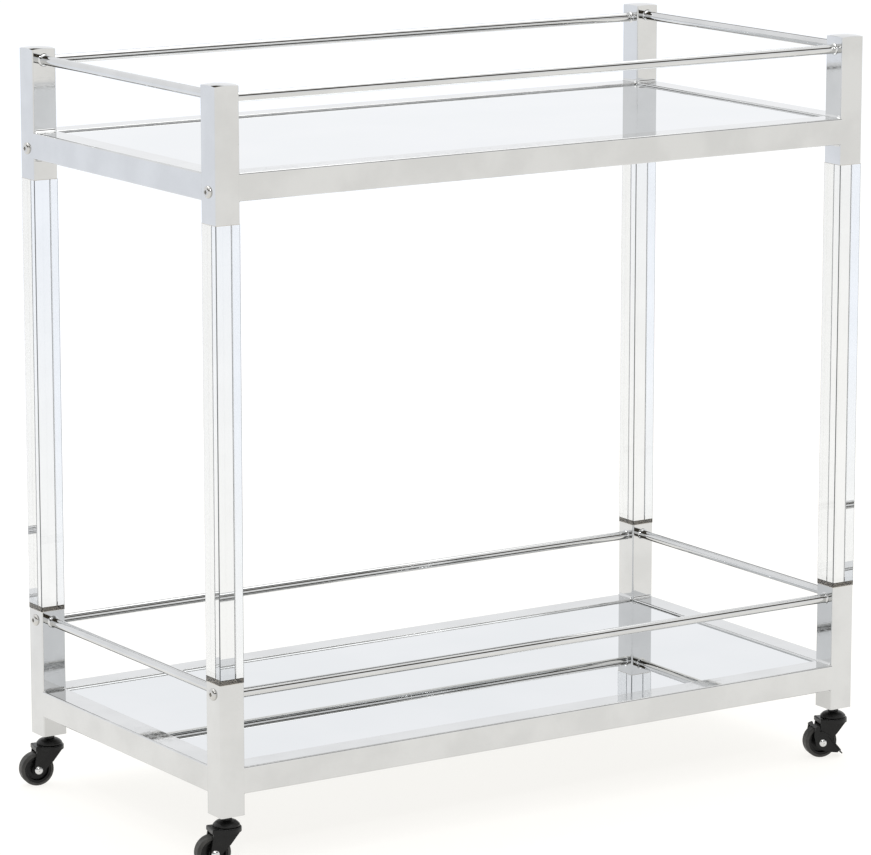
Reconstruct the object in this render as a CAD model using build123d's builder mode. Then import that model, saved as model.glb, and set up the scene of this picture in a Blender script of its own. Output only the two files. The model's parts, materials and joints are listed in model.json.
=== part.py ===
"""Two-tier bar cart: chrome square-tube trays, clear acrylic legs, mirror shelves, swivel casters.

Millimetres, +Z up. The origin is on the floor, under the middle of the tray frames.
+X runs along the cart to the right, +Y towards its back.
"""

import os
from math import cos, radians, sin

from build123d import *

# ---------------------------------------------------------------- cart sizes
cart_length = 800.0  # outside of the posts, along X
cart_depth = 400.0  # outside of the posts, along Y
tier_spacing = 600.0  # from a point on the lower tray to the same point on the upper one

# Square tube, shared by posts and rails
tube_size = 28.0
tube_wall = 1.5
tube_corner = 1.6  # outside corner radius
tube_bore_corner = 0.5  # inside corner radius
weld_overrun = 1.28  # how far a rail end is drawn over the post's rounded corner

# Tray frames, measured up from the lower end of their posts
post_height = 137.0
rail_drop = 22.0  # post below the rail
guard_height_long = 123.0  # centre of the front and back guard rods
guard_height_short = 125.0  # centre of the side guard rods
guard_diameter = 10.0
guard_weld = 1.8  # leg of the weld bead round a guard rod's end
cap_thickness = 3.0
cap_crown = 1.0
cap_edge = 1.44  # rounding of the cap's upper edge

# Mirror shelves
mirror_thickness = 5.0
mirror_recess = 2.0  # below the top of the rails
mirror_clearance = 1.0
mirror_corner = 3.0
mirror_bevel = 0.8
ledge_width = 12.0
ledge_thickness = 3.0
ledge_gap = 1.0  # between the long and the short ledges
pad_diameter = 8.0
pad_thickness = 1.0
pad_inset = 90.0  # of the outer pads from the ends of the shelf opening

# Acrylic legs
leg_edge_radius = 0.8
tenon_clearance = 0.1
tenon_chamfer = 1.0
upper_tenon = 45.0
lower_tenon = 30.0
upper_screw_height = 32.0  # above the lower end of the upper post
lower_screw_drop = 11.0  # below the upper end of the lower post

# M6 button-head screws and the threaded inserts in the tenons
screw_diameter = 6.0
screw_length = 13.0
screw_head_diameter = 12.5
screw_head_height = 3.0
screw_head_skirt = 0.6
screw_crown_diameter = 5.8  # flat round the socket
screw_head_bulge = 0.7
screw_tip_chamfer = 0.5
screw_socket = 4.0  # across flats
screw_socket_depth = 2.0
screw_hole_clearance = 0.2
thread_clearance = 0.05
insert_diameter = 8.5
insert_length = 10.0
insert_hole_spare = 1.0  # past the screw's tip

# Caster stem and its nut plate
stem_diameter = 8.0
stem_length = 18.0
stem_tip_chamfer = 0.8
nut_plate_thickness = 10.0
nut_plate_clearance = 0.05
stem_hex = 10.0  # across flats
stem_hex_height = 5.5
race_diameter = 27.5
race_dome_height = 4.5
race_lip = 1.2
race_shell = 1.4
race_bulge = 1.0  # of the dome, outside the straight line to its rim
race_gap = 0.8  # between the fixed race and the fork
kingpin_diameter = 7.0
kingpin_clearance = 0.05
kingpin_head_diameter = 11.0
kingpin_head_height = 1.4
kingpin_play = 0.3
ball_diameter = 2.4
ball_circle = 20.0
ball_count = 12
ball_gap = 0.3

# Caster fork
fork_sheet = 2.0
fork_plate_diameter = 31.0
fork_rim_height = 5.0
fork_bend = 1.6
fork_nose = 11.0  # front of the legs, ahead of the stem
fork_knee_ahead = 1.5
fork_knee_drop = 12.0  # below the rim
fork_leg_end_radius = 5.0
fork_tab_overhang = 3.0  # past the axle
fork_tab_lip = 5.0

# Caster wheel, trailing behind the stem along the caster's own -X
trail = 15.0
wheel_diameter = 36.0
wheel_width = 14.0
tyre_headroom = 6.0  # between the tyre and the fork plate
tyre_thickness = 3.5
tyre_edge = 2.4
rim_thickness = 3.0
rim_inset = 0.6  # of the core's rim from the tyre's sides
web_thickness = 6.0
web_draft = 0.6
hub_diameter = 13.0
side_clearance = 1.5  # between tyre and fork leg
hub_clearance = 0.4
axle_diameter = 5.0
axle_clearance = 0.05
axle_head_diameter = 9.0
axle_head_height = 2.0
axle_dimple = 1.4
axle_dimple_depth = 0.8

# Toe-brake lever, on the right-hand casters
lever_sheet = 1.2
lever_side_gap = 0.4
lever_tyre_gap = 0.5
lever_hole_clearance = 0.05
lever_corner = 1.3
lever_rib = 2.5
lever_rib_bend = 4.0
shoe_angle = 109.0  # start of the shoe round the axle, degrees from straight ahead
shoe_spread = 11.0
pedal_tip_width = 14.0
# Cheek outline round the axle, X ahead and Z up, in wheel radii
lever_outline = (
    (-0.50, 0.95),
    (-0.58, 0.47),
    (-0.44, -0.17),
    (-0.08, -0.45),
    (0.50, -0.61),
    (0.95, -0.67),
    (1.08, -0.48),
    (0.74, -0.06),
    (0.36, 0.42),
    (-0.17, 0.74),
    (-0.24, 1.09),
)
lever_rib_points = (9, 8, 7, 6)  # outline corners that the stiffening rib follows
# Pedal sheet from its root between the cheeks to its toe, in shoe radii
pedal_root_line = ((0.95, -0.375), (1.06, -0.515))
pedal_toe_line = ((1.05, -0.50), (1.27, -0.782))

# How far each caster has swivelled from pointing straight along the cart, degrees
swivel_angles = {"fl": 12.0, "fr": 18.0, "bl": 12.0, "br": 15.0}
braked = ("fr", "br")

# ------------------------------------------------------------ derived places
half_length = cart_length / 2
half_depth = cart_depth / 2
post_x = half_length - tube_size / 2
post_y = half_depth - tube_size / 2
opening_length = cart_length - 2 * tube_size
opening_depth = cart_depth - 2 * tube_size
tube_bore = tube_size - 2 * tube_wall

corners = {
    "fl": (-post_x, -post_y),
    "fr": (post_x, -post_y),
    "bl": (-post_x, post_y),
    "br": (post_x, post_y),
}

fork_plate_drop = stem_hex_height + race_dome_height + race_lip + race_gap
wheel_radius = wheel_diameter / 2
axle_drop = fork_plate_drop + fork_sheet + tyre_headroom + wheel_radius
fork_inside = wheel_width / 2 + side_clearance
fork_outside = fork_inside + fork_sheet
lever_inside = fork_outside + lever_side_gap
lever_outside = lever_inside + lever_sheet

lower_base = axle_drop + wheel_radius
upper_base = lower_base + tier_spacing
tiers = {"lower": lower_base, "upper": upper_base}
leg_bottom = lower_base + post_height
leg_top = upper_base
mirror_drop = mirror_recess + mirror_thickness
ledge_drop = mirror_drop + pad_thickness

os.makedirs("parts", exist_ok=True)
written = []


def save(builder, name):
    """Label a finished piece and write it as its own STEP file."""
    builder.part.label = name
    export_step(builder.part, f"parts/{name}.step")
    written.append(name)


# --------------------------------------------------------- posts, caps, rails
def build_post(tier, corner):
    """A corner tube with a clearance hole for its leg screw in the short-side face."""
    x, y = corners[corner]
    base = tiers[tier]
    if tier == "upper":
        height = post_height - cap_thickness
        screw_z = base + upper_screw_height
    else:
        height = post_height
        screw_z = base + post_height - lower_screw_drop
    outward = 1 if x > 0 else -1
    with BuildPart() as post:
        with BuildSketch(Plane((x, y, base))):
            RectangleRounded(tube_size, tube_size, tube_corner)
            RectangleRounded(tube_bore, tube_bore, tube_bore_corner, mode=Mode.SUBTRACT)
        extrude(amount=height)
        with BuildSketch(Plane((x, y, screw_z), x_dir=(0, 1, 0), z_dir=(outward, 0, 0))):
            Circle(screw_diameter / 2 + screw_hole_clearance)
        extrude(amount=tube_size / 2, mode=Mode.SUBTRACT)
    save(post, f"{tier}_post_{corner}")


def build_caps():
    """Crowned plates welded over the tops of the upper posts."""
    top = upper_base + post_height
    crown_radius = (tube_size / 2) ** 2 / (2 * cap_crown)
    with BuildPart() as caps:
        with BuildSketch(Plane.XY.offset(top - cap_thickness)):
            with Locations(*corners.values()):
                RectangleRounded(tube_size, tube_size, tube_corner)
        extrude(amount=cap_thickness + cap_crown)
        rims = caps.edges().group_by(Axis.Z)[-1]
        fillet(rims, cap_edge)
        with Locations(*[(x, y, top + cap_crown - crown_radius) for x, y in corners.values()]):
            Sphere(crown_radius, mode=Mode.INTERSECT)
    save(caps, "upper_post_caps")


def post_blank(x, y, base):
    """The solid outline of a post, used to cope the rail ends round its corners."""
    outline = Plane((x, y, base)) * RectangleRounded(tube_size, tube_size, tube_corner)
    return extrude(outline, post_height)


def build_rail(tier, side):
    """A tray rail between two posts, its ends coped over their rounded corners."""
    middle = tiers[tier] + rail_drop + tube_size / 2
    if side in ("front", "back"):
        y = -post_y if side == "front" else post_y
        length = opening_length + 2 * weld_overrun
        section = Plane((-length / 2, y, middle), x_dir=(0, 1, 0), z_dir=(1, 0, 0))
        posts = [(-post_x, y), (post_x, y)]
    else:
        x = -post_x if side == "left" else post_x
        length = opening_depth + 2 * weld_overrun
        section = Plane((x, -length / 2, middle), x_dir=(-1, 0, 0), z_dir=(0, 1, 0))
        posts = [(x, -post_y), (x, post_y)]
    blanks = [post_blank(px, py, tiers[tier]) for px, py in posts]
    with BuildPart() as rail:
        with BuildSketch(section):
            RectangleRounded(tube_size, tube_size, tube_corner)
            RectangleRounded(tube_bore, tube_bore, tube_bore_corner, mode=Mode.SUBTRACT)
        extrude(amount=length)
        add(blanks, mode=Mode.SUBTRACT)
        if side in ("left", "right"):
            # The inner strip stops square, where the front and back rails pass the post's corner
            inward = -1 if side == "left" else 1
            for end in (section, section.offset(length - weld_overrun)):
                with BuildSketch(end):
                    with Locations((inward * (tube_size - tube_corner) / 2, 0)):
                        Rectangle(tube_corner, tube_size)
                extrude(amount=weld_overrun, mode=Mode.SUBTRACT)
    save(rail, f"{tier}_rail_{side}")


for tier_name in tiers:
    for corner_name in corners:
        build_post(tier_name, corner_name)
    for side_name in ("front", "back", "left", "right"):
        build_rail(tier_name, side_name)
build_caps()


# --------------------------------------------------------------- guard rods
def guard_plane(tier, side):
    """Section plane at one end of a guard rod, and the rod's length."""
    base = tiers[tier]
    if side in ("front", "back"):
        y = -post_y if side == "front" else post_y
        origin = (-opening_length / 2, y, base + guard_height_long)
        return Plane(origin, x_dir=(0, 1, 0), z_dir=(1, 0, 0)), opening_length
    x = -post_x if side == "left" else post_x
    origin = (x, -opening_depth / 2, base + guard_height_short)
    return Plane(origin, x_dir=(-1, 0, 0), z_dir=(0, 1, 0)), opening_depth


guard_runs = {
    f"{tier}_guard_{side}": guard_plane(tier, side)
    for tier in tiers
    for side in ("front", "back", "left", "right")
}

for guard_name, (guard_end, guard_length) in guard_runs.items():
    with BuildPart() as guard:
        with BuildSketch(guard_end):
            Circle(guard_diameter / 2)
        extrude(amount=guard_length)
    save(guard, guard_name)


def weld_profile(start, toe):
    """Concave bead section: X is the radius and Y runs along the rod from its end."""
    inner = guard_diameter / 2
    outer = inner + guard_weld
    hollow = (inner + 0.35 * guard_weld, start + 0.35 * (toe - start))
    with BuildLine() as outline:
        Line((inner, start), (outer, start))
        ThreePointArc((outer, start), hollow, (inner, toe))
        Line((inner, toe), (inner, start))
    return outline.line


with BuildPart() as guard_welds:
    for guard_end, guard_length in guard_runs.values():
        along = Plane(guard_end.origin, x_dir=guard_end.x_dir, z_dir=-guard_end.y_dir)
        near_weld = weld_profile(0, guard_weld)
        far_weld = weld_profile(guard_length, guard_length - guard_weld)
        for weld_outline in (near_weld, far_weld):
            with BuildSketch(along):
                make_face(weld_outline.edges())
            revolve(axis=Axis(guard_end.origin, guard_end.z_dir))
save(guard_welds, "guard_weld_beads")

# ------------------------------------------------------------ mirror shelves
for tier_name, tier_base in tiers.items():
    rail_top = tier_base + rail_drop + tube_size
    with BuildPart() as shelf:
        with BuildSketch(Plane.XY.offset(rail_top - mirror_drop)):
            RectangleRounded(
                opening_length - 2 * mirror_clearance,
                opening_depth - 2 * mirror_clearance,
                mirror_corner,
            )
        extrude(amount=mirror_thickness)
        chamfer(shelf.faces().sort_by(Axis.Z)[-1].edges(), mirror_bevel)
    save(shelf, f"{tier_name}_mirror_shelf")

with BuildPart() as ledges:
    for tier_base in tiers.values():
        ledge_top = tier_base + rail_drop + tube_size - ledge_drop
        with BuildSketch(Plane.XY.offset(ledge_top - ledge_thickness)):
            ledge_y = (opening_depth - ledge_width) / 2
            with Locations((0, -ledge_y), (0, ledge_y)):
                Rectangle(opening_length, ledge_width)
            ledge_x = (opening_length - ledge_width) / 2
            with Locations((-ledge_x, 0), (ledge_x, 0)):
                Rectangle(ledge_width, opening_depth - 2 * (ledge_width + ledge_gap))
        extrude(amount=ledge_thickness)
save(ledges, "shelf_ledges")

with BuildPart() as pads:
    for tier_base in tiers.values():
        pad_bottom = tier_base + rail_drop + tube_size - ledge_drop
        with BuildSketch(Plane.XY.offset(pad_bottom)):
            pad_step_x = (opening_length - 2 * pad_inset) / 2
            with GridLocations(pad_step_x, opening_depth - ledge_width, 3, 2):
                Circle(pad_diameter / 2)
            with GridLocations(opening_length - ledge_width, opening_depth - 2 * pad_inset, 2, 2):
                Circle(pad_diameter / 2)
        extrude(amount=pad_thickness)
save(pads, "shelf_pads")

# -------------------------------------------------- acrylic legs and screws
tenon_size = tube_bore - 2 * tenon_clearance
screw_levels = {
    "upper": upper_base + upper_screw_height,
    "lower": lower_base + post_height - lower_screw_drop,
}


def outward_plane(corner, z, inset=0.0):
    """Plane on the post's short-side face at a corner, its normal pointing off the cart."""
    x, y = corners[corner]
    outward = 1 if x > 0 else -1
    face_x = outward * (half_length - inset)
    return Plane((face_x, y, z), x_dir=(0, outward, 0), z_dir=(outward, 0, 0))


tenon_inset = tube_wall + tenon_clearance
for corner_name, (leg_x, leg_y) in corners.items():
    with BuildPart() as leg:
        with BuildSketch(Plane((leg_x, leg_y, leg_bottom))):
            RectangleRounded(tube_size, tube_size, leg_edge_radius)
        extrude(amount=leg_top - leg_bottom)
        with BuildSketch(Plane((leg_x, leg_y, leg_bottom - lower_tenon))):
            RectangleRounded(tenon_size, tenon_size, tenon_chamfer)
        extrude(amount=lower_tenon)
        with BuildSketch(Plane((leg_x, leg_y, leg_top))):
            RectangleRounded(tenon_size, tenon_size, tenon_chamfer)
        extrude(amount=upper_tenon)
        for screw_z in screw_levels.values():
            with BuildSketch(outward_plane(corner_name, screw_z, tenon_inset)):
                Circle(insert_diameter / 2)
            extrude(amount=tenon_inset - screw_length - insert_hole_spare, mode=Mode.SUBTRACT)
    save(leg, f"acrylic_leg_{corner_name}")

with BuildPart() as inserts:
    for corner_name in corners:
        for screw_z in screw_levels.values():
            with BuildSketch(outward_plane(corner_name, screw_z, tenon_inset)):
                Circle(insert_diameter / 2)
                Circle(screw_diameter / 2 + thread_clearance, mode=Mode.SUBTRACT)
            extrude(amount=-insert_length)
save(inserts, "leg_thread_inserts")


def button_head_profile():
    """Half section of a button-head screw: X is the radius, Y the height off the face."""
    shank = screw_diameter / 2
    head = screw_head_diameter / 2
    crown = screw_crown_diameter / 2
    shoulder = ((head + crown) / 2 + screw_head_bulge, 0.72 * screw_head_height)
    with BuildLine() as outline:
        Polyline(
            (0, screw_head_height),
            (0, -screw_length),
            (shank - screw_tip_chamfer, -screw_length),
            (shank, -screw_length + screw_tip_chamfer),
            (shank, 0),
            (head, 0),
            (head, screw_head_skirt),
        )
        ThreePointArc((head, screw_head_skirt), shoulder, (crown, screw_head_height))
        Line((crown, screw_head_height), (0, screw_head_height))
    return outline.line


button_head = button_head_profile()
for tier_name, screw_z in screw_levels.items():
    with BuildPart() as screws:
        for corner_name in corners:
            seat = outward_plane(corner_name, screw_z)
            with BuildSketch(Plane(seat.origin, x_dir=seat.x_dir, z_dir=-seat.y_dir)):
                make_face(button_head.edges())
            revolve(axis=Axis(seat.origin, seat.z_dir))
        for corner_name in corners:
            seat = outward_plane(corner_name, screw_z, -screw_head_height)
            with BuildSketch(seat):
                RegularPolygon(screw_socket / 2, 6, major_radius=False)
            extrude(amount=-screw_socket_depth, mode=Mode.SUBTRACT)
    save(screws, f"{tier_name}_leg_screws")


# ------------------------------------------------------ fixed caster pieces
with BuildPart() as nut_plates:
    with BuildSketch(Plane.XY.offset(lower_base)):
        with Locations(*corners.values()):
            plate_size = tube_bore - 2 * nut_plate_clearance
            RectangleRounded(plate_size, plate_size, tenon_chamfer)
            Circle(stem_diameter / 2 + thread_clearance, mode=Mode.SUBTRACT)
    extrude(amount=nut_plate_thickness)
save(nut_plates, "caster_nut_plates")

race_top = lower_base - stem_hex_height
race_bottom = race_top - race_dome_height - race_lip
fork_top = lower_base - fork_plate_drop
kingpin_end = fork_top - fork_sheet - kingpin_play

with BuildPart() as stems:
    stacks = (
        (lower_base, stem_length, Circle, (stem_diameter / 2,)),
        (kingpin_end, race_top - kingpin_end, Circle, (kingpin_diameter / 2,)),
        (kingpin_end - kingpin_head_height, kingpin_head_height, Circle, (kingpin_head_diameter / 2,)),
    )
    for stack_z, stack_height, outline, size in stacks:
        with BuildSketch(Plane.XY.offset(stack_z)):
            with Locations(*corners.values()):
                outline(*size)
        extrude(amount=stack_height)
    with BuildSketch(Plane.XY.offset(race_top)):
        with Locations(*corners.values()):
            RegularPolygon(stem_hex / 2, 6, major_radius=False, rotation=15)
    extrude(amount=stem_hex_height)
    stem_tips = stems.edges().group_by(Axis.Z)[-1]
    chamfer(stem_tips, stem_tip_chamfer)
save(stems, "caster_stems")


def race_profile():
    """Half section of the domed race: X is the radius, Y the height over its lower edge."""
    rim = race_diameter / 2
    neck = kingpin_diameter / 2
    crown = race_lip + race_dome_height
    shoulder = stem_hex / 2 + race_bulge
    outer_bulge = ((shoulder + rim) / 2 + race_bulge, race_lip + 0.62 * race_dome_height)
    inner_bulge = (outer_bulge[0] - 0.8 * race_shell, outer_bulge[1] - 0.8 * race_shell)
    inner_rim = (rim - race_shell, 0.6 * race_lip)
    with BuildLine() as outline:
        Line((neck, crown), (shoulder, crown))
        ThreePointArc((shoulder, crown), outer_bulge, (rim, race_lip))
        Polyline((rim, race_lip), (rim, 0), (rim - race_shell, 0), inner_rim)
        ThreePointArc(inner_rim, inner_bulge, (shoulder, crown - race_shell))
        Polyline((shoulder, crown - race_shell), (neck, crown - race_shell), (neck, crown))
    return outline.line


race_outline = race_profile()
with BuildPart() as races:
    for stem_x, stem_y in corners.values():
        with BuildSketch(Plane((stem_x, stem_y, race_bottom), x_dir=(1, 0, 0), z_dir=(0, -1, 0))):
            make_face(race_outline.edges())
        revolve(axis=Axis((stem_x, stem_y, race_bottom), (0, 0, 1)))
save(races, "caster_races")

with BuildPart() as balls:
    for stem_x, stem_y in corners.values():
        with Locations((stem_x, stem_y, fork_top + ball_gap + ball_diameter / 2)):
            with PolarLocations(ball_circle / 2, ball_count):
                Sphere(ball_diameter / 2)
save(balls, "swivel_bearing_balls")


# ----------------------------------------------------- moving caster pieces
def caster_frame(corner):
    """The caster's own plane at the lower end of its post, turned to its swivel angle."""
    x, y = corners[corner]
    turn = radians(-swivel_angles[corner])
    return Plane((x, y, lower_base), x_dir=(cos(turn), sin(turn), 0), z_dir=(0, 0, 1))


def side_plane(frame, x, y, z):
    """Plane along the wheel, X ahead and Y up, facing the caster's near side."""
    origin = frame.from_local_coords(Vector(x, y, z))
    return Plane(origin, x_dir=frame.x_dir, z_dir=-frame.y_dir)


def axle_plane(frame):
    """Plane through the axle, X along the axle to the near side and Y up, for revolved pieces."""
    origin = frame.from_local_coords(Vector(-trail, 0, -axle_drop))
    return Plane(origin, x_dir=-frame.y_dir, z_dir=-frame.x_dir)


def axle_axis(frame):
    origin = frame.from_local_coords(Vector(-trail, 0, -axle_drop))
    return Axis(origin, -frame.y_dir)


def build_fork(corner):
    """Stamped fork: round cupped plate, tab over the wheel with a turned lip, two legs."""
    frame = caster_frame(corner)
    plate_radius = fork_plate_diameter / 2
    tab_end = trail + fork_tab_overhang
    rim_low = -fork_plate_drop - fork_rim_height
    plate_top = -fork_plate_drop
    with BuildPart() as fork:
        with BuildSketch(frame.offset(rim_low)):
            Circle(plate_radius)
        extrude(amount=fork_rim_height)
        with BuildSketch(frame.offset(rim_low)):
            Circle(plate_radius - fork_sheet)
        extrude(amount=fork_rim_height - fork_sheet, mode=Mode.SUBTRACT)
        with BuildSketch(frame.offset(plate_top - fork_sheet)):
            with Locations((-tab_end / 2, 0)):
                Rectangle(tab_end, 2 * fork_outside)
        extrude(amount=fork_sheet)
        with BuildSketch(frame.offset(plate_top - fork_tab_lip)):
            with Locations((-tab_end + fork_sheet / 2, 0)):
                Rectangle(fork_sheet, 2 * fork_outside)
        extrude(amount=fork_tab_lip)
        for near in (fork_outside, -fork_inside):
            with BuildSketch(side_plane(frame, 0, -near, 0)):
                with BuildLine():
                    Polyline(
                        (-tab_end + fork_sheet, plate_top),
                        (fork_nose, plate_top),
                        (fork_nose, rim_low),
                        (fork_knee_ahead, rim_low - fork_knee_drop),
                        (-tab_end + fork_sheet, rim_low - fork_knee_drop),
                        close=True,
                    )
                make_face()
                with Locations((-trail, -axle_drop)):
                    Circle(fork_leg_end_radius)
                make_hull()
            extrude(amount=-fork_sheet)
        crown = fork.edges().filter_by(Plane.XY).group_by(Axis.Z)[-1]
        fillet(crown, fork_bend)
        with BuildSketch(frame.offset(plate_top - fork_sheet)):
            Circle(kingpin_diameter / 2 + kingpin_clearance)
        extrude(amount=fork_sheet, mode=Mode.SUBTRACT)
        with BuildSketch(side_plane(frame, -trail, -fork_outside, -axle_drop)):
            Circle(axle_diameter / 2)
        extrude(amount=-2 * fork_outside, mode=Mode.SUBTRACT)
    save(fork, f"caster_fork_{corner}")


def build_axle(corner):
    """Riveted axle with a domed head outside each fork leg, or outside the brake lever."""
    frame = caster_frame(corner)
    seat = lever_outside + lever_side_gap if corner in braked else fork_outside
    tip = seat + axle_head_height
    radius = axle_diameter / 2
    head = axle_head_diameter / 2
    dimple = axle_dimple / 2
    with BuildPart() as axle:
        with BuildSketch(axle_plane(frame)):
            with BuildLine():
                floor = tip - axle_dimple_depth
                Polyline((0, 0), (floor, 0), (floor, dimple), (tip, dimple))
                ThreePointArc((tip, dimple), (seat + 0.72 * axle_head_height, 0.72 * head), (seat, head))
                Polyline((seat, head), (seat, radius), (0, radius), (0, 0))
            make_face()
        revolve(axis=axle_axis(frame))
        mirror(about=Plane(frame.origin, x_dir=frame.x_dir, z_dir=frame.y_dir))
    save(axle, f"caster_axle_{corner}")


def build_wheel(corner):
    """Moulded wheel core with a recessed web, and the tyre pressed round it."""
    frame = caster_frame(corner)
    seat_radius = wheel_radius - tyre_thickness
    bore = axle_diameter / 2 + axle_clearance
    hub_half = fork_inside - hub_clearance
    rim_half = wheel_width / 2 - rim_inset
    with BuildPart() as core:
        with BuildSketch(axle_plane(frame)):
            with BuildLine():
                Polyline(
                    (0, bore),
                    (hub_half, bore),
                    (hub_half, hub_diameter / 2),
                    (web_thickness / 2, hub_diameter / 2 + web_draft),
                    (web_thickness / 2, seat_radius - rim_thickness),
                    (rim_half, seat_radius - rim_thickness + web_draft),
                    (rim_half, seat_radius),
                    (0, seat_radius),
                    close=True,
                )
            make_face()
            mirror(about=Plane.YZ)
        revolve(axis=axle_axis(frame))
    save(core, f"wheel_core_{corner}")
    with BuildPart() as tyre:
        with BuildSketch(axle_plane(frame)) as tyre_section:
            with Locations((0, seat_radius + tyre_thickness / 2)):
                Rectangle(wheel_width, tyre_thickness)
            fillet(tyre_section.vertices().group_by(Axis.Y)[-1], tyre_edge)
        revolve(axis=axle_axis(frame))
    save(tyre, f"tyre_{corner}")


def build_lever(corner):
    """Toe-brake lever: two cheeks outside the fork, a shoe over the tyre and a toe pedal."""
    frame = caster_frame(corner)
    middle = side_plane(frame, -trail, 0, -axle_drop)
    outline = [(x * wheel_radius, z * wheel_radius) for x, z in lever_outline]
    rib = [outline[place] for place in lever_rib_points]
    shoe_radius = wheel_radius + lever_tyre_gap + lever_sheet / 2
    pedal_root = [(x * shoe_radius, z * shoe_radius) for x, z in pedal_root_line]
    pedal_toe = [(x * shoe_radius, z * shoe_radius) for x, z in pedal_toe_line]
    with BuildLine() as rib_path:
        FilletPolyline(*rib, radius=lever_rib_bend)
    with BuildPart() as lever:
        for near in (1, -1):
            with BuildSketch(middle.offset(near * lever_inside)) as cheek:
                Polygon(*outline, align=None)
                fillet(cheek.vertices(), lever_corner)
                Circle(axle_diameter / 2 + lever_hole_clearance, mode=Mode.SUBTRACT)
            extrude(amount=near * lever_sheet)
            with BuildSketch(middle.offset(near * lever_inside)):
                trace(rib_path.line, lever_sheet)
            extrude(amount=near * (lever_sheet + lever_rib))
        with BuildSketch(middle):
            with BuildLine():
                CenterArc((0, 0), shoe_radius, shoe_angle, shoe_spread)
            trace(line_width=lever_sheet)
            with BuildLine():
                Line(*pedal_root)
            trace(line_width=lever_sheet)
        extrude(amount=lever_outside, both=True)
        with BuildSketch(middle):
            with BuildLine():
                Line(*pedal_toe)
            trace(line_width=lever_sheet)
        extrude(amount=pedal_tip_width / 2, both=True)
    save(lever, f"brake_lever_{corner}")


for corner_name in corners:
    build_fork(corner_name)
    build_axle(corner_name)
    build_wheel(corner_name)
for corner_name in braked:
    build_lever(corner_name)

print(len(written), "pieces, cart height", upper_base + post_height + cap_crown)
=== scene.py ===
import json
import math

import bmesh
import bpy
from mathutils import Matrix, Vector


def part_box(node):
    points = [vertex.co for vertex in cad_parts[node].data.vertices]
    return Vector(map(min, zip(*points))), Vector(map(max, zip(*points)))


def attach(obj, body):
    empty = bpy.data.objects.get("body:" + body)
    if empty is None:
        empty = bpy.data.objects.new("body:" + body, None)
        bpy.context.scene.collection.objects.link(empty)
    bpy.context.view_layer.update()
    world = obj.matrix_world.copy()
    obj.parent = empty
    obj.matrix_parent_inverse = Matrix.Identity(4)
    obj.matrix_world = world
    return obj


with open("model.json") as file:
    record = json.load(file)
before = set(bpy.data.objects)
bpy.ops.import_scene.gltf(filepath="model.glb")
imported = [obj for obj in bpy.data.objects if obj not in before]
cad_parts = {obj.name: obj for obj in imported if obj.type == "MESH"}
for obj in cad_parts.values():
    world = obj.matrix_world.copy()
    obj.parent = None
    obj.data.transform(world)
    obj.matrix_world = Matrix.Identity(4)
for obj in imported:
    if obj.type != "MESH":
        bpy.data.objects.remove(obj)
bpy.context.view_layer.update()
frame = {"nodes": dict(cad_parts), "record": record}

record = frame["record"]
scene = bpy.context.scene

# ----------------------------------------------------------------------- camera
camera_azimuth = -33.225
camera_elevation = 11.396
camera_place = Vector((-2.6265, -3.9903, 1.3411))
camera_lens = 188.25
sensor_width = 36.0
clip_range = (0.1, 200.0)


def toward_camera():
    """Unit vector from the cart to the camera."""
    a = math.radians(camera_azimuth)
    e = math.radians(camera_elevation)
    return Vector((math.sin(a) * math.cos(e), -math.cos(a) * math.cos(e), math.sin(e)))


def make_camera():
    data = bpy.data.cameras.new("camera")
    data.sensor_width = sensor_width
    data.lens = camera_lens
    data.clip_start, data.clip_end = clip_range
    camera = bpy.data.objects.new("camera", data)
    scene.collection.objects.link(camera)
    camera.location = camera_place
    camera.rotation_mode = "QUATERNION"
    camera.rotation_quaternion = (-toward_camera()).to_track_quat("-Z", "Y")
    scene.camera = camera


# ------------------------------------------------------------------ node helpers
even = (1.0, 1.0, 1.0)  # a tint or a stretch that changes nothing


def link(tree, source, target):
    tree.links.new(source, target)


def set_input(tree, socket, value):
    """Joins a socket to another socket, or sets its value."""
    if isinstance(value, bpy.types.NodeSocket):
        link(tree, value, socket)
    else:
        socket.default_value = value


def calc(tree, operation, first, second=0.0):
    node = tree.nodes.new("ShaderNodeMath")
    node.operation = operation
    set_input(tree, node.inputs[0], first)
    set_input(tree, node.inputs[1], second)
    return node.outputs[0]


def ramp(tree, value, from_range, to_range=(0.0, 1.0), smooth=True):
    """Maps a value from one range to another, smoothly or in a straight line."""
    node = tree.nodes.new("ShaderNodeMapRange")
    node.interpolation_type = "SMOOTHSTEP" if smooth else "LINEAR"
    set_input(tree, node.inputs["Value"], value)
    node.inputs["From Min"].default_value = from_range[0]
    node.inputs["From Max"].default_value = from_range[1]
    node.inputs["To Min"].default_value = to_range[0]
    node.inputs["To Max"].default_value = to_range[1]
    return node.outputs["Result"]


def flip(tree, value):
    """Turns a value that goes from 0 to 1 into one that goes from 1 to 0."""
    return ramp(tree, value, (0.0, 1.0), (1.0, 0.0))


def blend_colours(tree, share, first, second):
    node = tree.nodes.new("ShaderNodeMix")
    node.data_type = "RGBA"
    set_input(tree, node.inputs["Factor"], share)
    set_input(tree, node.inputs["A"], first)
    set_input(tree, node.inputs["B"], second)
    return node.outputs["Result"]


def coordinates(tree, kind):
    return tree.nodes.new("ShaderNodeTexCoord").outputs[kind]


def split(tree, vector):
    """The X, Y and Z outputs of a vector."""
    node = tree.nodes.new("ShaderNodeSeparateXYZ")
    link(tree, vector, node.inputs["Vector"])
    return node.outputs


def measure_along(tree, vector, direction):
    """How far a vector goes in a fixed direction."""
    node = tree.nodes.new("ShaderNodeVectorMath")
    node.operation = "DOT_PRODUCT"
    link(tree, vector, node.inputs[0])
    node.inputs[1].default_value = direction
    return node.outputs["Value"]


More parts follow.
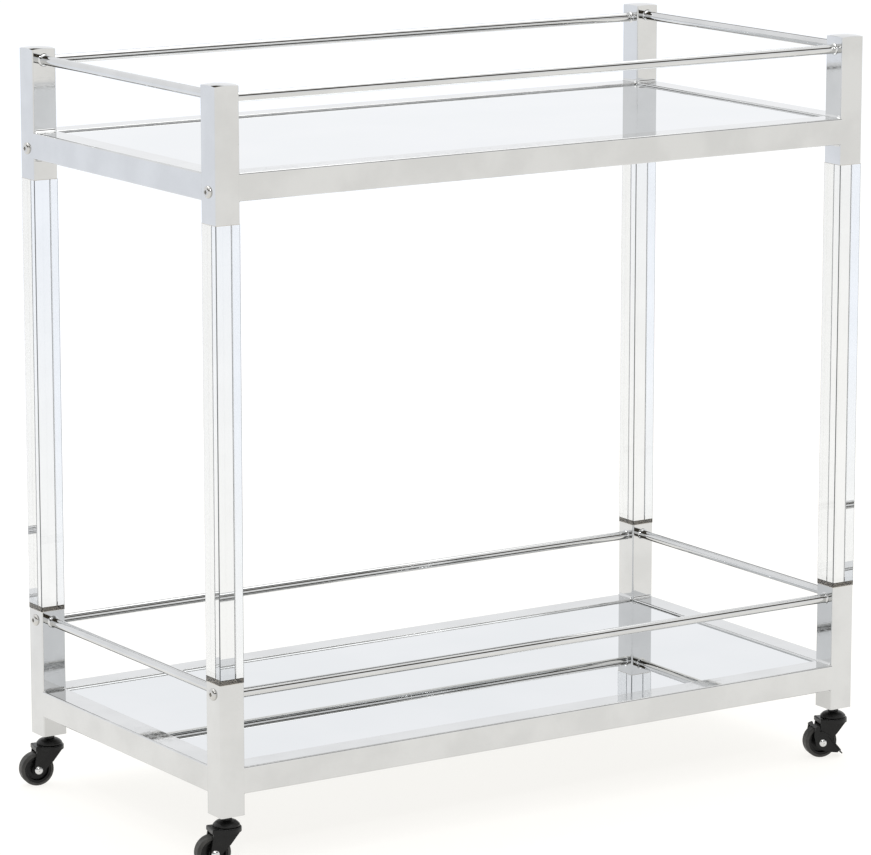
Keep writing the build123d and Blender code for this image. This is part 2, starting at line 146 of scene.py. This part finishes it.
def place_coordinates(tree, stretch=even):
    """The piece's own coordinates in metres, stretched for grain that runs one way."""
    mapping = tree.nodes.new("ShaderNodeMapping")
    mapping.inputs["Scale"].default_value = stretch
    link(tree, coordinates(tree, "Object"), mapping.inputs["Vector"])
    return mapping.outputs["Vector"]


def noise(tree, scale, detail, stretch=even):
    node = tree.nodes.new("ShaderNodeTexNoise")
    node.inputs["Scale"].default_value = scale
    node.inputs["Detail"].default_value = detail
    link(tree, place_coordinates(tree, stretch), node.inputs["Vector"])
    return node.outputs["Fac"]


def clouds(tree, scale, detail, contrast, to_range=(0.0, 1.0), stretch=even):
    """Noise mapped to a range, which it fills between the two noise levels of contrast."""
    return ramp(tree, noise(tree, scale, detail, stretch), contrast, to_range)


def bump(tree, height, distance, strength):
    node = tree.nodes.new("ShaderNodeBump")
    node.inputs["Strength"].default_value = strength
    node.inputs["Distance"].default_value = distance
    link(tree, height, node.inputs["Height"])
    return node.outputs["Normal"]


def start_material(name):
    """A new node material, its tree and its Principled shader."""
    material = bpy.data.materials.new(name)
    material.use_nodes = True
    tree = material.node_tree
    return material, tree, tree.nodes["Principled BSDF"]


def grey(value, tint=even):
    return (value * tint[0], value * tint[1], value * tint[2], 1.0)


# ------------------------------------------------------------------- the studio
white_wall = (1.04, 1.05, 1.07, 1.0)
dark_ceiling = (0.060, 0.050, 0.036, 1.0)
overhead_box = (1.10, 1.10, 1.10, 1.0)
camera_side_range = (-0.15, 0.20)  # the ceiling is dark only on the camera's side of the cart
ceiling_starts = (0.24, 0.38)  # sine of the elevation where the walls give way to the ceiling
overhead_starts = (0.60, 0.72)  # and where the ceiling gives way to the overhead light
flag_bearing = 27.0  # of a small dark flag behind the cart, to the right of +Y
flag_elevation = 27.0
flag_edge = (0.9915, 0.9960)  # cosine of its outer and inner radius

floor_radius = 60.0
floor_segments = 96
floor_tones = (0.21, 0.23)
# the floor glows though it is no lamp: painted light that lifts the shadows cast on it
floor_glow = 0.84
cool_light_side = (-0.55, 0.83, 0.0)  # where the floor's glow turns from warm to cool white: painted bluish light towards the back-left
cool_light_range = (0.3, 2.5)
warm_glow = (1.0, 0.985, 0.95, 1.0)
cool_glow = (0.95, 0.99, 1.07, 1.0)


def make_world():
    """White studio walls, a dark ceiling on the camera's side, a soft light overhead and a
    small dark flag behind the cart."""
    world = bpy.data.worlds.new("studio")
    scene.world = world
    world.use_nodes = True
    tree = world.node_tree
    direction = coordinates(tree, "Generated")
    height = split(tree, direction)["Z"]
    view = toward_camera()
    ahead = measure_along(tree, direction, (view.x, view.y, 0.0))
    ceiling = ramp(tree, height, ceiling_starts)
    dark = calc(tree, "MULTIPLY", ceiling, ramp(tree, ahead, camera_side_range))
    walls = blend_colours(tree, dark, white_wall, dark_ceiling)
    bearing, rise = math.radians(flag_bearing), math.radians(flag_elevation)
    level = math.cos(rise)
    flag_direction = (math.sin(bearing) * level, math.cos(bearing) * level, math.sin(rise))
    flag = ramp(tree, measure_along(tree, direction, flag_direction), flag_edge)
    walls = blend_colours(tree, flag, walls, dark_ceiling)
    overhead = ramp(tree, height, overhead_starts)
    studio = blend_colours(tree, overhead, walls, overhead_box)
    link(tree, studio, tree.nodes["Background"].inputs["Color"])


def new_object(name, mesh):
    piece = bpy.data.objects.new(name, mesh)
    scene.collection.objects.link(piece)
    return piece


def make_floor():
    mesh = bpy.data.meshes.new("floor")
    sheet = bmesh.new()
    bmesh.ops.create_circle(sheet, cap_ends=True, segments=floor_segments, radius=floor_radius)
    sheet.to_mesh(mesh)
    sheet.free()
    floor = new_object("floor", mesh)
    material, tree, shader = start_material("pale_floor")
    mottle = clouds(tree, scale=1.5, detail=4.0, contrast=(0.3, 0.7), to_range=floor_tones)
    colour = tree.nodes.new("ShaderNodeCombineColor")
    for channel in ("Red", "Green", "Blue"):
        link(tree, mottle, colour.inputs[channel])
    link(tree, colour.outputs["Color"], shader.inputs["Base Color"])
    shader.inputs["Roughness"].default_value = 0.9
    shader.inputs["Specular IOR Level"].default_value = 0.1
    # Painted light: the floor glows, which lifts the shadows cast on it, and its glow turns cooler towards
    # the back-left.
    across = measure_along(tree, place_coordinates(tree), cool_light_side)
    glow = blend_colours(tree, ramp(tree, across, cool_light_range), warm_glow, cool_glow)
    link(tree, glow, shader.inputs["Emission Color"])
    shader.inputs["Emission Strength"].default_value = floor_glow
    floor.data.materials.append(material)


def make_light(name, place, aim, side, power):
    """A square area light that the camera doesn't see."""
    data = bpy.data.lights.new(name, "AREA")
    data.shape = "RECTANGLE"
    data.size = data.size_y = side
    data.energy = power
    light = bpy.data.objects.new(name, data)
    scene.collection.objects.link(light)
    light.location = place
    light.rotation_mode = "QUATERNION"
    light.rotation_quaternion = (Vector(aim) - Vector(place)).to_track_quat("-Z", "Y")
    light.visible_camera = False


# -------------------------------------------------------------------- materials
chrome_tint = (1.0, 1.005, 1.0)
screw_tint = (1.0, 0.985, 0.95)
brass_tint = (1.0, 0.82, 0.48)
tyre_tint = (1.0, 0.98, 0.93)

acrylic_tones = ((0.805, 0.815, 0.82, 1.0), (0.83, 0.84, 0.845, 1.0))
# painted shade: a near-black tint along the legs' rounded corners, standing in for their dark edges
acrylic_painted_edge_shade = (0.03, 0.033, 0.036, 1.0)
acrylic_milled = (0.52, 0.48, 0.42, 1.0)
acrylic_ior = 1.49
shoulder_blend = (0.0002, 0.0008)  # from the tubes' ends to where the faces are clear
painted_edge_shade_turn = (0.01, 0.10)  # product of the normal's X and Y, where a face rounds into a corner and painted shade darkens it

silver_tones = ((0.72, 0.735, 0.745, 1.0), (0.745, 0.755, 0.765, 1.0))
glass_edge = (0.62, 0.74, 0.70, 1.0)
painted_back = (0.30, 0.31, 0.32, 1.0)
mirror_face_turn = (0.45, 0.65)  # the normal's Z, where the edge gives way to the mirror
mirror_back_turn = (-0.95, -0.85)  # and where the back gives way to the edge

pad_tones = ((0.80, 0.82, 0.82, 1.0), (0.9, 0.91, 0.91, 1.0))
silicone_ior = 1.41


def chrome_material(name, reflectance, roughness, tint=chrome_tint):
    """Polished chrome plate: faint cloudiness, hairline polishing marks, a slight waviness."""
    material, tree, shader = start_material(name)
    shader.inputs["Metallic"].default_value = 1.0
    cloud = clouds(tree, scale=18.0, detail=4.0, contrast=(0.35, 0.65))
    light, dark = grey(reflectance * 1.03, tint), grey(reflectance * 0.96, tint)
    link(tree, blend_colours(tree, cloud, dark, light), shader.inputs["Base Color"])
    marks = clouds(
        tree, scale=160.0, detail=5.0, contrast=(0.35, 0.75), to_range=roughness, stretch=(1.0, 1.0, 9.0)
    )
    link(tree, marks, shader.inputs["Roughness"])
    waves = noise(tree, scale=9.0, detail=1.0)
    link(tree, bump(tree, waves, distance=0.0003, strength=0.45), shader.inputs["Normal"])
    return material


def acrylic_material(name):
    """Clear cast acrylic with polished faces; milled tenons and shoulders are matt."""
    material, tree, shader = start_material(name)
    shader.inputs["IOR"].default_value = acrylic_ior
    height = split(tree, coordinates(tree, "Object"))["Z"]
    shoulder_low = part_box("lower_post_fl")[1].z
    shoulder_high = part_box("upper_post_fl")[0].z
    near, far = shoulder_blend
    below = ramp(tree, height, (shoulder_low + near, shoulder_low + far), (1.0, 0.0))
    above = ramp(tree, height, (shoulder_high - far, shoulder_high - near))
    milled = calc(tree, "ADD", below, above)
    link(tree, flip(tree, milled), shader.inputs["Transmission Weight"])
    cloud = clouds(tree, scale=30.0, detail=2.0, contrast=(0.3, 0.7))
    clear = blend_colours(tree, cloud, *acrylic_tones)
    # Painted shade: the faces are tinted near-black where they round into the corners.
    normal = split(tree, coordinates(tree, "Normal"))
    edge_shade_mask = calc(tree, "ABSOLUTE", calc(tree, "MULTIPLY", normal["X"], normal["Y"]))
    clear = blend_colours(tree, ramp(tree, edge_shade_mask, painted_edge_shade_turn), clear, acrylic_painted_edge_shade)
    link(tree, blend_colours(tree, milled, clear, acrylic_milled), shader.inputs["Base Color"])
    rubs = clouds(
        tree, scale=220.0, detail=4.0, contrast=(0.60, 0.80), to_range=(0.0, 0.035), stretch=(1.0, 1.0, 0.12)
    )
    link(tree, rubs, shader.inputs["Roughness"])
    return material


def mirror_material(name):
    """Silvered float glass: mirror face, pale green edge, painted back."""
    material, tree, shader = start_material(name)
    upward = split(tree, coordinates(tree, "Normal"))["Z"]
    face = ramp(tree, upward, mirror_face_turn)
    back = ramp(tree, upward, mirror_back_turn, (1.0, 0.0))
    smears = clouds(tree, scale=7.0, detail=5.0, contrast=(0.35, 0.7))
    edge = blend_colours(tree, face, glass_edge, blend_colours(tree, smears, *silver_tones))
    link(tree, blend_colours(tree, back, edge, painted_back), shader.inputs["Base Color"])
    link(tree, face, shader.inputs["Metallic"])
    gloss = clouds(tree, scale=55.0, detail=5.0, contrast=(0.45, 0.8), to_range=(0.004, 0.03))
    matte = ramp(tree, back, (0.0, 1.0), (0.0, 0.5), smooth=False)
    link(tree, calc(tree, "ADD", gloss, matte), shader.inputs["Roughness"])
    return material


def brushed_material(name, value, roughness, tint=even, stretch=(40.0, 1.0, 1.0)):
    """Plated or turned metal with a grain that runs one way."""
    material, tree, shader = start_material(name)
    shader.inputs["Metallic"].default_value = 1.0
    grain = noise(tree, scale=90.0, detail=4.0, stretch=stretch)
    tone = blend_colours(tree, grain, grey(value * 0.9, tint), grey(value * 1.08, tint))
    link(tree, tone, shader.inputs["Base Color"])
    link(tree, ramp(tree, grain, (0.3, 0.7), roughness), shader.inputs["Roughness"])
    link(tree, bump(tree, grain, distance=0.00002, strength=0.5), shader.inputs["Normal"])
    return material


def pad_material(name):
    """Clear silicone bumper."""
    material, tree, shader = start_material(name)
    shader.inputs["Transmission Weight"].default_value = 0.8
    shader.inputs["IOR"].default_value = silicone_ior
    cloud = clouds(tree, scale=400.0, detail=2.0, contrast=(0.3, 0.7))
    link(tree, blend_colours(tree, cloud, *pad_tones), shader.inputs["Base Color"])
    link(tree, ramp(tree, cloud, (0.0, 1.0), (0.2, 0.35)), shader.inputs["Roughness"])
    return material


def black_material(name, value, roughness, coat, grain_scale, grain_depth, tint=even):
    """Black paint, plastic or rubber with its own grain and a little wear in its gloss."""
    material, tree, shader = start_material(name)
    cloud = clouds(tree, scale=120.0, detail=4.0, contrast=(0.3, 0.7))
    tone = blend_colours(tree, cloud, grey(value * 0.8, tint), grey(value * 1.25, tint))
    link(tree, tone, shader.inputs["Base Color"])
    wear = clouds(tree, scale=260.0, detail=3.0, contrast=(0.3, 0.7), to_range=roughness)
    link(tree, wear, shader.inputs["Roughness"])
    shader.inputs["Specular IOR Level"].default_value = 0.22
    shader.inputs["Coat Weight"].default_value = coat
    shader.inputs["Coat Roughness"].default_value = 0.12
    grain = noise(tree, scale=grain_scale, detail=2.0)
    link(tree, bump(tree, grain, distance=grain_depth, strength=0.6), shader.inputs["Normal"])
    return material


material_recipes = {
    "polished_chrome": (chrome_material, dict(reflectance=0.64, roughness=(0.03, 0.09))),
    "mirror_glass": (mirror_material, {}),
    "clear_acrylic": (acrylic_material, {}),
    "screw_steel": (chrome_material, dict(reflectance=0.60, roughness=(0.10, 0.24), tint=screw_tint)),
    "ledge_steel": (brushed_material, dict(value=0.50, roughness=(0.28, 0.42))),
    "clear_pad": (pad_material, {}),
    "insert_brass": (
        brushed_material,
        dict(value=0.72, roughness=(0.2, 0.35), tint=brass_tint, stretch=(1.0, 1.0, 30.0)),
    ),
    "black_caster_steel": (
        black_material,
        dict(value=0.006, roughness=(0.24, 0.42), coat=0.08, grain_scale=900.0, grain_depth=0.00003),
    ),
    "axle_steel": (chrome_material, dict(reflectance=0.66, roughness=(0.08, 0.20))),
    "black_wheel_plastic": (
        black_material,
        dict(value=0.004, roughness=(0.24, 0.36), coat=0.04, grain_scale=700.0, grain_depth=0.00002),
    ),
    "caster_tyre": (
        black_material,
        dict(
            value=0.05, roughness=(0.42, 0.6), coat=0.0,
            grain_scale=1400.0, grain_depth=0.00006, tint=tyre_tint,
        ),
    ),
}


def make_materials():
    """The material of each of the record's slots."""
    return {slot: maker(slot, **settings) for slot, (maker, settings) in material_recipes.items()}


def dress_nodes(materials):
    """Gives each CAD node its slot's material."""
    for row in record["subparts"]:
        piece = frame["nodes"][row["node"]]
        piece.data.materials.clear()
        piece.data.materials.append(materials[row["material_slot"]])


# ----------------------------------------------------- weld fillets on the rails
weld_radius = 0.0026
thinnest_weld = 0.00005  # radius left at its two ends
weld_fullness = 8  # the higher, the shorter its thin ends
weld_root = 0.0003  # how far it goes into the corner
weld_inset = 0.0006  # short of the tube's side faces
weld_steps = 8  # round the fillet
weld_stations = 24  # along it


def weld_fillet(mesh, corner, up, out, along, half_length):
    """A concave bead in the corner between a rail and a post, thinning out at both ends."""
    rings = []
    for station in range(weld_stations + 1):
        t = 2 * station / weld_stations - 1
        radius = weld_radius * (1 - abs(t) ** weld_fullness) ** 0.5 + thinnest_weld
        middle = corner + along * (t * half_length)
        ring = [mesh.verts.new(middle - (up + out) * weld_root)]
        for step in range(weld_steps + 1):
            angle = math.pi / 2 * step / weld_steps
            rise = radius * (1 - math.cos(angle))
            reach = radius * (1 - math.sin(angle))
            ring.append(mesh.verts.new(middle + up * rise + out * reach))
        rings.append(ring)
    count = len(rings[0])
    for near, far in zip(rings, rings[1:]):
        for place in range(count):
            after = (place + 1) % count
            mesh.faces.new((near[place], near[after], far[after], far[place]))
    mesh.faces.new(rings[0][::-1])
    mesh.faces.new(rings[-1])


def make_weld_fillets(material):
    """One bead over and one under each rail end."""
    mesh = bmesh.new()
    for tier in ("lower", "upper"):
        for side in ("front", "back", "left", "right"):
            low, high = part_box(f"{tier}_rail_{side}")
            middle = (low + high) / 2
            lengthwise = side in ("front", "back")
            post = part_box(f"{tier}_post_fl")
            post_face = post[1].x if lengthwise else post[1].y
            along = Vector((0, 1, 0)) if lengthwise else Vector((1, 0, 0))
            half_length = (high.y - low.y if lengthwise else high.x - low.x) / 2 - weld_inset
            for end in (-1, 1):
                out = Vector((-end, 0, 0)) if lengthwise else Vector((0, -end, 0))
                for level, up in ((high.z, Vector((0, 0, 1))), (low.z, Vector((0, 0, -1)))):
                    corner = Vector((middle.x, middle.y, level))
                    if lengthwise:
                        corner.x = -end * post_face
                    else:
                        corner.y = -end * post_face
                    weld_fillet(mesh, corner, up, out, along, half_length)
    bmesh.ops.recalc_face_normals(mesh, faces=mesh.faces)
    for face in mesh.faces:
        face.smooth = True
    data = bpy.data.meshes.new("rail_weld_fillets")
    mesh.to_mesh(data)
    mesh.free()
    data.materials.append(material)
    piece = new_object("rail_weld_fillets", data)
    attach(piece, "frame")


# --------------------------------------------------------------------- assembly
make_camera()
make_world()
make_floor()
make_light("overhead", place=(0.3, 0.6, 3.2), aim=(0, 0, 0.4), side=3.0, power=40.0)
make_light("glint", place=(-1.6, -2.4, 2.4), aim=(0, 0, 0.1), side=0.25, power=14.0)
materials = make_materials()
dress_nodes(materials)
make_weld_fillets(materials["polished_chrome"])
scene.view_settings.view_transform = "Standard"
